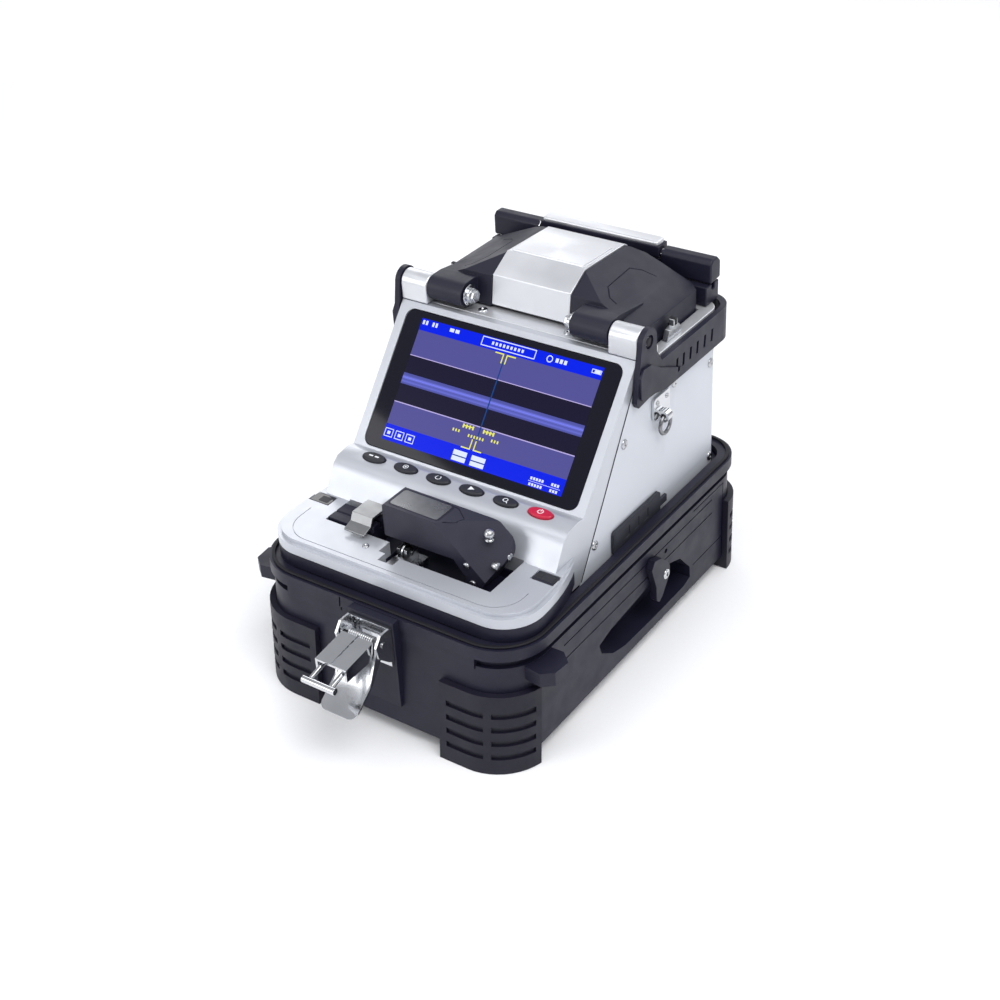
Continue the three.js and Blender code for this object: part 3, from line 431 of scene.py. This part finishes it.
def show_bands():
    """The dark middle, the two fields and the bars along the top and bottom."""
    dark_low, dark_high = 20.4, 45
    fields = [full_width(BOTTOM_BAR, dark_low), full_width(dark_high, TOP_BAR)]
    bars = [full_width(0, BOTTOM_BAR), full_width(TOP_BAR, ACTIVE_HIGH)]
    edges = [full_width(dark_low - 0.4, dark_low + 0.1), full_width(dark_high - 0.2, dark_high + 0.2)]
    screen_patch("display_black", [full_width(dark_low, dark_high)], 1, GLOW["dark"])
    screen_patch("display_fields", fields, 1, GLOW["field"])
    screen_patch("display_bars", bars, 1, GLOW["blue"])
    screen_patch("display_edges", edges, 2, GLOW["pale"])


def show_fiber():
    """The fiber across the dark middle in thin strips, with a bright line, a weaker one and the needle."""
    strips = 11
    low, high = 29.8, 35.6
    step = (high - low) / strips
    for i in range(strips):
        t = (i + 0.5) / strips
        bright = 0.65 * math.exp(-((t - 0.60) / 0.12) ** 2)
        weak = 0.35 * math.exp(-((t - 0.25) / 0.10) ** 2)
        glow = 0.35 + bright + weak
        color = (0.13 * glow + 0.02, 0.15 * glow + 0.02, 0.62 * glow + 0.08)
        strip = full_width(low + i * step, low + (i + 1) * step)
        screen_patch(f"display_fiber_{i}", [strip], 2, make_glow(f"display_fiber_{i}", color))
    screen_patch("display_needle", [bar(-0.75, -0.05, 10.5, 54)], 3, GLOW["line"])


def show_marks():
    """Yellow corner marks at the needle's ends, and the measured values as rows of blocks."""
    marks = [
        bar(-6.4, -1.2, 57.6, 58.2), bar(-1.8, -1.2, 53.2, 58.2),
        bar(0.4, 1.0, 53.2, 57.9), bar(0.4, 5.8, 57.4, 58.0),
        bar(-7.8, -2.4, 8.0, 8.6), bar(-3.0, -2.4, 8.0, 13.4),
        bar(-0.6, 0.0, 8.0, 13.0), bar(-0.6, 4.4, 8.0, 8.6),
    ]
    for x0 in (-10.6, 1.6):
        marks += word(x0, 1.9, 0.9, 17.6, 19.6, range(4))
        marks.append(bar(x0, x0 + 6.6, 18.5, 19.0))
    for x0, count, t in ((-15.6, 3, 15.4), (-6.0, 6, 14.6), (7.6, 3, 15.4)):
        marks += word(x0, 1.7, 0.8, t - 0.7, t + 0.7, range(count))
    screen_patch("display_marks", marks, 4, GLOW["yellow"])


def show_icons():
    """The white words, frames and icons in the two bars, and the fiber's ends."""
    icons = frame_bars(-16.1, 15.8, 59.4, 64.2, 0.45)
    icons += word(-10, 2.2, 1.2, 61.0, 62.6, range(9))
    icons += word(-53, 2.0, 1.2, 61.6, 63.8, (0, 1, 3, 4))
    icons += [bar(-36.0, -33.4, 61.6, 63.4), bar(-32.6, -30.2, 61.6, 63.4)]
    icons += word(27.4, 2.4, 1.6, 60.9, 63.0, range(3))
    icons += frame_bars(48, 53.4, 60.8, 62.9, 0.35)
    icons.append(bar(49.6, 52.8, 61.2, 62.5))
    for x0 in (-53.6, -47.0, -40.4):
        icons += frame_bars(x0, x0 + 5.2, 1.8, 6.2, 0.4)
        icons.append(bar(x0 + 1.7, x0 + 3.5, 3.2, 4.8))
    icons.append(bar(34.2, 52.4, 2.6, 2.8))
    for t in (1.2, 4.2):
        icons += word(35, 1.6, 1.1, t - 0.7, t + 0.7, range(5))
        icons += word(47, 1.6, 1.1, t - 0.7, t + 0.7, range(3))
    screen_patch("display_icons", icons, 4, GLOW["white"])
    screen_patch("display_dial", [arc(24, 61.8, 1.8, 0, 360, 20)[:-1]], 4, GLOW["white"])
    screen_patch("display_dial_hole", [arc(24, 61.8, 1.3, 0, 360, 20)[:-1]], 4, GLOW["blue"], PATCH)
    screen_patch("display_fiber_ends", [bar(-11, -2.9, 0.8, 6.2), bar(0, 8.2, 0.8, 6.0)], 4, GLOW["white"])
    lines = [bar(-11, -2.9, 3.1, 3.7), bar(0, 8.2, 3.0, 3.6)]
    screen_patch("display_fiber_lines", lines, 4, GLOW["line"], PATCH)


def make_display():
    refine("screen_glass", "glass", 0.25)
    show_bands()
    show_fiber()
    show_marks()
    show_icons()


# ------------------------------------------------------------------ details cut into or set on the nodes

RAKE = 0.00075  # the case's front leans back by this share of its depth for each millimetre of height

# Places of the CAD that the details are set by, in millimetres.
CASE_SIDE = (77.7, 81)  # from the floor of the grooves to beyond the case's side
PANEL_X = 69.5
REAR_Y = 101.4
DECK_Z = 160.6
TRAY_TOP = 83.8
PIN_Y, PIN_Z = 24, 169  # the pin that the wind cover and the handle turn on
LUG_Y, LUG_Z = 24.5, 38.5
LATCH_Y, LATCH_Z = 118, 60
KEY_PITCH = 20
KEY_Y, KEY_Z, KEY_TILT = -39, 102.1, 0.06
CLEAVER_FRONT, CLEAVER_REAR = -75, -57.5

SIDES = {"right": 1, "left": -1}

# Each corner bumper: the centre and radius of its bend, the angle at which the bend starts,
# and the angles at which its first column of slots ends and its second starts and ends.
BUMPERS = {
    "front": ((53.4, -85.5), 25, -90, (-73, -65, -20)),
    "rear": ((60.4, 92.5), 18, 90, (50, 38, 6)),
}


def span(side, near, far):
    """The two places near and far from the middle on one side, in rising order."""
    return sorted((side * near, side * far))


def stroke(points, width):
    """The outline of a line of the given width through the points."""
    left, right = [], []
    for i, point in enumerate(points):
        here = Vector(point)
        before = here - Vector(points[i - 1]) if i else Vector(points[1]) - here
        after = Vector(points[i + 1]) - here if i + 1 < len(points) else before
        across = (before.normalized() + after.normalized()).normalized().orthogonal() * width / 2
        left.append(tuple(here + across))
        right.append(tuple(here - across))
    return left + right[::-1]


def cut_away(piece, items, lean=False):
    """Cuts prisms, given as for prisms(), out of a piece. A lean cut follows the case's raked front."""
    bm = bmesh.new()
    for item in items:
        add_prism(bm, *item)
    if lean:
        for vertex in bm.verts:
            if vertex.co.y < 0:
                vertex.co.y *= 1 - RAKE * vertex.co.z / MM
    return subtract(piece, to_object("tool", bm, None, None))


def round_edges(piece, radius, segments, chosen):
    """Rounds the chosen edges of the mesh itself; chosen takes an edge and its middle in millimetres."""
    bm = bmesh.new()
    bm.from_mesh(piece.data)
    edges = [e for e in bm.edges if len(e.link_faces) == 2
             and chosen(e, (e.verts[0].co + e.verts[1].co) / 2 / MM)]
    bmesh.ops.bevel(bm, geom=edges, offset=radius * MM, segments=segments, profile=0.5,
                    affect="EDGES", clamp_overlap=True)
    bm.to_mesh(piece.data)
    bm.free()


def turned(name, profiles, finish, body, sides=24):
    """Lathed pieces in one object; each item is (profile, place)."""
    bm = bmesh.new()
    for profile, place in profiles:
        add_lathe(bm, profile, place, sides)
    return soften(to_object(name, bm, finish, body), 0)


def along(axis, x=0.0, y=0.0, z=0.0, sign=1):
    """Maps a lathe's own frame to one at (x, y, z) that points along the axis."""
    turn = {
        "X": lambda a, b, h: (x + sign * h, y + a, z + b),
        "Y": lambda a, b, h: (x + a, y + sign * h, z + b),
        "Z": lambda a, b, h: (x + a, y + b, z + sign * h),
    }[axis]
    return lambda a, b, h: Vector(turn(a, b, h))


def screw_profile(radius, head=0.9, recess=0.45):
    """A domed head with a round dimple, from the face it sits on."""
    return [(0, -0.3), (radius * 0.92, -0.3), (radius, 0.1), (radius * 0.9, head * 0.7), (radius * 0.6, head),
            (recess * radius, head), (recess * radius * 0.9, head * 0.35), (0, head * 0.25)]


def make_case():
    shell = copy_of("case_base", "black")
    grooves = []
    for side in SIDES.values():
        low, high = span(side, *CASE_SIDE)
        for z in (42.5, 51):
            grooves.append((bar(-68, 80, z - 0.35, z + 0.35), "X", low, high))
        grooves.append((stroke([(60, 55), (92, 55), (92, 21), (60, 21)], 0.7), "X", low, high))
        grooves.append((arc(31, 47.4, 1.4, 0, 360, 16)[:-1], "X", *span(side, 76.5, 81)))
    grooves.append((bar(-22.2, -21.4, 60, 68), "Y", -114, -110.4))
    cut_away(shell, grooves, lean=True)
    soften(shell, 0.5)
    refine("lower_housing", "black", 0.5)
    refine("rim_seal", "seal_and_shade", 0.35)
    for name, side in SIDES.items():
        for end in BUMPERS:
            make_bumper(end, name, side)
        refine(f"strap_lug_{name}", "black", 0.9, 3)
        screw = [(screw_profile(2.9, 0.8, 0.4), along("X", side * 82.4, LUG_Y, LUG_Z, side))]
        turned(f"lug_screw_{name}", screw, "chrome", f"strap_lug_{name}")


def make_bumper(end, name, side):
    """Four rows of slots in two columns, with a plain rib between them."""
    (cx, cy), radius, start, (first, second, last) = BUMPERS[end]
    outer, inner = radius + 5.5, radius + 2.2
    straight = 41.5  # where the rows start, on the bumper's straight end
    sign = 1 if start > 0 else -1

    def row(a0, a1, reach_straight):
        rim = arc(cx, cy, outer, a0, a1, 10)
        floor = arc(cx, cy, inner, a0, a1, 10)
        if reach_straight:
            rim.insert(0, (straight, cy + sign * outer))
            floor.insert(0, (straight, cy + sign * inner))
        return [(side * u, v) for u, v in rim + floor[::-1]]

    slots = []
    for z in (33.2, 25.4, 17.6, 9.8):
        for outline in (row(start, first, True), row(second, last, False)):
            slots.append((outline, "Z", z - 1.5, z + 1.5))
    piece = copy_of(f"bumper_{end}_{name}", "rubber")
    cut_away(piece, slots, lean=True)
    soften(piece, 0.9, 3, 40)


def make_front():
    """The front housing with its tray: a groove round the tray, two windows, a screw, the keys and seams."""
    housing = copy_of("front_housing", "pearl")
    half, corner, front = 66.9, 15, -94.6
    left = arc(-half + corner, front + corner, corner, 180, 270, 8)
    right = arc(half - corner, front + corner, corner, 270, 360, 8)
    path = [(-half, -71)] + left + right + [(half, -76)]
    cut_away(housing, [(stroke(path, 0.4), "Z", TRAY_TOP - 0.5, TRAY_TOP + 1.2)])
    soften(housing, 0.9, 3, 30)
    for name, side in SIDES.items():
        x0, x1 = span(side, 61.1, 72.9)
        glass = rect(x0, x1, -65.1, -57.9, 1.0)
        soften(prism(f"tray_window_{name}", glass, "Z", 82.6, 83.75, "tinted", "base"), 0.2)
        catch = rect(x0 + 4.5, x1 - 1.5, -63.8, -59.2, 0.6)
        soften(prism(f"tray_catch_{name}", catch, "Z", 83.5, 83.9, "key", "base"), 0.1, 1)
    turned("tray_screw", [(screw_profile(1.8, 0.6), along("Z", -22, -83.8, TRAY_TOP))], "steel", "base")
    make_keys()
    make_seams()


def on_key(x):
    """Maps a flat mark to the tilted top of the key at x."""
    return lambda u, v, w: Vector((
        x + u,
        KEY_Y + v * math.cos(KEY_TILT) - w * math.sin(KEY_TILT),
        KEY_Z + v * math.sin(KEY_TILT) + w * math.cos(KEY_TILT),
    ))


def ring_marks(radius, start=0, end=360):
    """A ring, or part of one, as short bars."""
    points = arc(0, 0, radius, start, end, 18)
    return [stroke(pair, 0.4) for pair in zip(points, points[1:])]


def make_keys():
    """Five black keys and the red power key, each with a plain mark."""
    bodies = [f"button_{i}" for i in range(1, 6)] + ["button_power"]
    for body in bodies:
        refine(body, "power_key" if body == "button_power" else "key", 1.1, 3)
    marks = [
        [bar(-3, -0.6, -0.5, 0.5), bar(0.6, 3, -0.5, 0.5)],
        ring_marks(1.3) + [bar(-0.5, 0.5, -0.5, 0.5)],
        ring_marks(1.4, 120, 420),
        [[(-1.3, -1.5), (1.7, 0), (-1.3, 1.5)]],
        ring_marks(1.2) + [stroke([(0.9, -0.9), (2.0, -2.0)], 0.5)],
        ring_marks(1.4, 110, 430) + [bar(-0.2, 0.2, 0.2, 1.9)],
    ]
    middle = (len(bodies) - 1) / 2
    for i, (body, outlines) in enumerate(zip(bodies, marks)):
        place = on_key((i - middle) * KEY_PITCH)
        prisms(f"{body}_mark", [(outline, place, -0.1, PATCH) for outline in outlines], "mark", body)


def make_seams():
    """The dark joint between the front housing and each side panel, along the cheek's sloping edge."""
    slope = 0.611
    ends = [(-35.6 + slope * (z - 64.5), z) for z in (65.4, 150)]
    for name, side in SIDES.items():
        x0, x1 = span(side, 68.4, 69.42)
        prism(f"seam_{name}", stroke(ends, 0.55), "X", x0, x1, "seal_and_shade", "base")


def make_panels():
    """The rear and side panels with their screws, strap clips and vent slots, the slots drawn as dark patches
    of painted shade.
    """
    refine("rear_panel", "panel", 0.3)
    places = [(5.4, 121.8), (-22.8, 79.8), (53.8, 132.1), (91.3, 125.5), (92.3, 69.1)]
    for name, side in SIDES.items():
        refine(f"side_panel_{name}", "panel", 0.3)
        screws = [(screw_profile(2.6, 0.9, 0.3), along("X", side * PANEL_X, y, z, side)) for y, z in places]
        turned(f"panel_screws_{name}", screws, "steel", "base", 20)
        refine(f"strap_clip_{name}", "chrome", 0.35)
        rivets = [(screw_profile(1.3, 0.6), along("X", side * 71.2, y, 130.4, side)) for y in (34.5, 43.5)]
        turned(f"clip_rivets_{name}", rivets, "steel", "base", 16)
        refine(f"strap_ring_{name}", "dark_steel", 0)
    screws = [(screw_profile(1.9, 0.8), along("Y", x, REAR_Y, z)) for x in (-52, 52) for z in (72, 134)]
    turned("rear_screws", screws, "steel", "base", 20)
    # The vent slots are not cut: flat dark patches on the panel are painted shade in their place.
    count, pitch, width = 9, 6, 2.4
    starts = [-pitch * (count - 1) / 2 + pitch * i for i in range(count)]
    vent_shades = [(rect(x, x + width, 84, 104, 1.1, 3), "Y", REAR_Y - 0.2, REAR_Y + 0.1) for x in starts]
    prisms("rear_vent_shades", vent_shades, "seal_and_shade", "base")


def make_deck_fittings():
    """A fiber guide at each end of the splicing head, whose notched top is drawn as a dark block of painted
    shade, and the two screws in front of it.
    """
    guide = [(50.5, 155.1), (65, 155.1), (62.6, 160.5), (60.9, 161), (60.6, 164.4), (57.2, 164.4),
             (56.8, 161), (53.2, 160.5)]
    # The guide is not cut here: a dark block a little wider than the guide is painted shade in place of the
    # opening.
    notch_shade = bar(57.9, 59.9, 161.2, 164.7)
    for name, side in SIDES.items():
        x0, x1 = span(side, 64.2, 67.2)
        soften(prism(f"fiber_guide_{name}", guide, "X", x0, x1, "steel", "base"), 0.3)
        prism(f"fiber_guide_notch_shade_{name}", notch_shade, "X", x0 - 0.15, x1 + 0.15, "seal_and_shade", "base")
    screws = [(screw_profile(2.6, 0.8, 0.3), along("Z", x, 27.1, DECK_Z)) for x in (-25.5, 25.5)]
    turned("deck_screws", screws, "chrome", "base")


def make_port_flap():
    flap = copy_of("port_cover", "flap")
    hollows = [(rect(y, y + 5, 69.5, 75.5, 0.8, 3), "X", 71.2, 73) for y in (2, 11, 20)]
    cut_away(flap, hollows)
    soften(flap, 0.35)


def make_handle():
    """The handle with its row of slots, and the hinge that it shares with the wind cover."""
    handle = copy_of("carry_handle", "black")
    low, high, width, lean = 141.2, 147.8, 2, 0.7
    slots = []
    for y in (50.5, 57, 64, 71, 78.5, 86):
        y0, y1 = y - 1.1, y - 1.1 + width
        slots.append(([(y0, low), (y1, low), (y1 + lean, high), (y0 + lean, high)], "X", -80, 80))
    cut_away(handle, slots)
    soften(handle, 0.8, 3)
    # A thin dark disc on each lug is painted shade for the deep hole in which the hinge pin ends.
    hole_shade_disc = [(0, -0.2), (2.3, -0.2), (2.3, 0.15), (0, 0.15)]
    washer = [(0, 0), (5.2, 0), (5.4, 0.25), (5.2, 0.9), (0, 0.9)]
    hexagon = arc(PIN_Y, PIN_Z, 3.3, 0, 360, 6)[:-1]
    for name, side in SIDES.items():
        refine(f"hinge_lug_{name}", "brushed", 0.8, 3)
        refine(f"hinge_pin_{name}", "steel", 0.4)
        place = along("X", side * 72.2, PIN_Y, PIN_Z, side)
        turned(f"hinge_hole_shade_{name}", [(hole_shade_disc, place)], "seal_and_shade", "base", 20)
        x0, x1 = span(side, 26.6, 29.4)
        soften(prism(f"hinge_bolt_{name}", hexagon, "X", x0, x1, "steel", "base"), 0.35)
        place = along("X", side * 30.6, PIN_Y, PIN_Z, side)
        turned(f"hinge_washer_{name}", [(washer, place)], "chrome", "base", 32)


def roof(x):
    """Height of the wind cover's sloping roof at x."""
    line = [(23, 185), (35, 179.6), (50, 173), (59, 169.4), (62, 166)]
    for (x0, z0), (x1, z1) in zip(line, line[1:]):
        if x <= x1:
            return z0 + (z1 - z0) * (x - x0) / (x1 - x0)
    return line[-1][1]


def on_roof(side):
    """Maps a flat outline to the roof on one side."""
    return lambda u, v, w: Vector((side * u, v, roof(u) + w))


def make_cover():
    shell = copy_of("wind_cover_shell", "cover_black")
    crease = stroke([(45, 40), (40.5, 41), (36, 47), (34.9, 69.7), (39.4, 74.3), (46, 76.6)], 0.6)
    cut_away(shell, [(crease, on_roof(side), -0.5, 3) for side in SIDES.values()])
    soften(shell, 2.4, 5)
    refine("wind_cover_plate", "brushed", 0.4)


def make_heater():
    """The tube heater: its lid carries a bright bar, each clamp a chrome bracket and a ledge."""
    refine("heater_body", "black", 0.8)
    lid = copy_of("heater_lid", "black")
    cut_away(lid, [(bar(-40, 40, 95, 110), "Z", 180.3, 190)])
    soften(lid, 0.4)
    top = prism("heater_bar", rect(-35, 35, 97, 105, 2.4), "Z", 179.7, 182.55, "brushed", "heater_lid")
    soften(top, 1.1, 4)
    bracket = [(96.7, 166.6), (99, 166.6), (99, 174.5), (105.8, 174.5), (105.8, 175.6), (103.2, 178.9),
               (98.8, 178.9), (96.7, 176.8)]
    for name, side in SIDES.items():
        body = f"heater_clamp_{name}"
        refine(body, "black", 1.0, 3)
        x0, x1 = span(side, 36.6, 38.4)
        soften(prism(f"clamp_bracket_{name}", bracket, "X", x0, x1, "chrome", body), 0.4)
        ledge = rect(*span(side, 39.5, 64.5), 168.2, 169.4, 0.5, 3)
        prism(f"clamp_rib_{name}", ledge, "Y", 96.62, 97.4, "seal_and_shade", body)


def is_arm_corner(edge, middle):
    """The upright edges at the left end of the cleaver's arm."""
    tall = abs(edge.verts[0].co.z - edge.verts[1].co.z) > 5 * MM
    at_side = abs(middle.y - CLEAVER_FRONT) < 0.2 or abs(middle.y - CLEAVER_REAR) < 0.2
    return tall and at_side and abs(middle.x + 18) < 2.5


def make_cleaver():
    refine("cleaver_base", "black", 0.5)
    arm = copy_of("cleaver_arm", "arm_black")
    round_edges(arm, 3, 5, is_arm_corner)
    crease = stroke([(9, -58.4), (17.2, -59.4), (24.6, -65.2), (22.6, -69.4), (17, -72.6)], 0.45)
    cut_away(arm, [(crease, "arm", -0.6, 1)])
    soften(arm, 0.8, 3)
    surround = rect(-15.2, 15.4, -73.4, -58.7, 2.2)
    soften(prism("cleaver_badge_frame", surround, "arm", -0.2, 0.05, "black", "cleaver_arm"), 0.1, 1)
    plate = rect(-14.2, 14.2, -72.7, -59.5, 1.8)
    soften(prism("cleaver_badge", plate, "arm", -0.2, 0.3, "dark_steel", "cleaver_arm"), 0.15)
    make_cleaver_pins()
    refine("cleaver_fiber_clip", "nickel", 0.25)
    refine("cleaver_carriage", "steel", 0.25)
    refine("cleaver_blade", "steel", 0.1, 1)


def make_cleaver_pins():
    """Two pins in the arm's front, two in its right end, and the ball stud on top."""
    front_pin = [(0, -1), (1.9, -1), (1.9, 0.5), (1.4, 0.9), (0, 0.9)]
    end_pin = [(0, -2), (2.2, -2), (2.2, 0.4), (1.6, 0.8), (0, 0.8)]
    stud = [(0, 0), (2.2, 0), (2.3, 0.8), (1.2, 1.2)] + arc(0, 3.4, 2.6, -54, 90, 12)
    pins = [
        (front_pin, along("Y", 34.6, CLEAVER_FRONT, 76.9, -1)),
        (front_pin, along("Y", 31.5, CLEAVER_FRONT, 86.0, -1)),
        (end_pin, along("X", 47, -61.5, 88.5)),
        (end_pin, along("X", 46, -70.5, 88.0)),
        (stud, along("Z", 39.5, -66.4, 98.2)),
    ]
    turned("cleaver_pins", pins, "steel", "cleaver_arm", 20)


def is_lever_corner(edge, middle):
    """The short edges at the corners of the latch lever's lower end."""
    short = edge.calc_length() < 2.4 * MM
    upright = abs(edge.verts[0].co.x - edge.verts[1].co.x) < 0.1 * MM
    return short and upright and abs(abs(middle.x) - 10.7) < 0.1 and middle.z < 32


def wire_ring(radius, wire):
    """One turn of a spring, as a closed profile round its axis."""
    return [(radius + wire * math.cos(a), wire * math.sin(a)) for a in [TAU * i / 8 for i in range(9)]]


def make_latches():
    """The front and rear latch; out is the direction that a latch faces."""
    for place, out in (("front", -1), ("rear", 1)):
        refine(f"{place}_latch_bracket", "chrome", 0.4)
        lever = copy_of(f"{place}_latch_lever", "chrome")
        round_edges(lever, 4, 6, is_lever_corner)
        soften(lever, 0.25)
        arm = copy_of(f"{place}_latch_arm", "chrome")
        groove = bar(-0.35, 0.35, *span(out, LATCH_Y, LATCH_Y + 25))
        cut_away(arm, [(groove, "Z", LATCH_Z - 0.4, LATCH_Z + 4)])
        soften(arm, 0.35)
        refine(f"{place}_latch_loop", "chrome", 0.3)
        turns = [along("X", -6.6 + 1.2 * i, out * LATCH_Y, LATCH_Z) for i in range(12)]
        spring = [(wire_ring(2.1, 0.45), turn) for turn in turns]
        turned(f"{place}_latch_spring", spring, "steel", f"{place}_latch_lever", 16)
        rivet = screw_profile(1.2, 0.5)
        rivets = [(rivet, along("Y", x, out * 113, z, out)) for x in (-8, 8) for z in (48, 54)]
        turned(f"{place}_latch_rivets", rivets, "steel", "base", 12)


# ------------------------------------------------------------------ every other node

def make_inner_nodes():
    refine("top_deck", "brushed", 0.5)
    refine("splice_block", "steel", 0.3)
    refine("electrode_front", "steel", 0.1, 1)
    refine("electrode_rear", "steel", 0.1, 1)
    for side in SIDES:
        refine(f"fiber_carriage_{side}", "steel", 0.4)
    refine("main_board", "board", 0.1, 1)
    refine("keypad_board", "board", 0.1, 1)
    refine("battery_pack", "battery", 1.5, 3)
    refine("lcd_module", "steel", 0.3)
    refine("camera_module", "black", 0.5)


make_camera()
make_studio()
make_display()
make_case()
make_front()
make_panels()
make_deck_fittings()
make_port_flap()
make_handle()
make_cover()
make_heater()
make_cleaver()
make_latches()
make_inner_nodes()
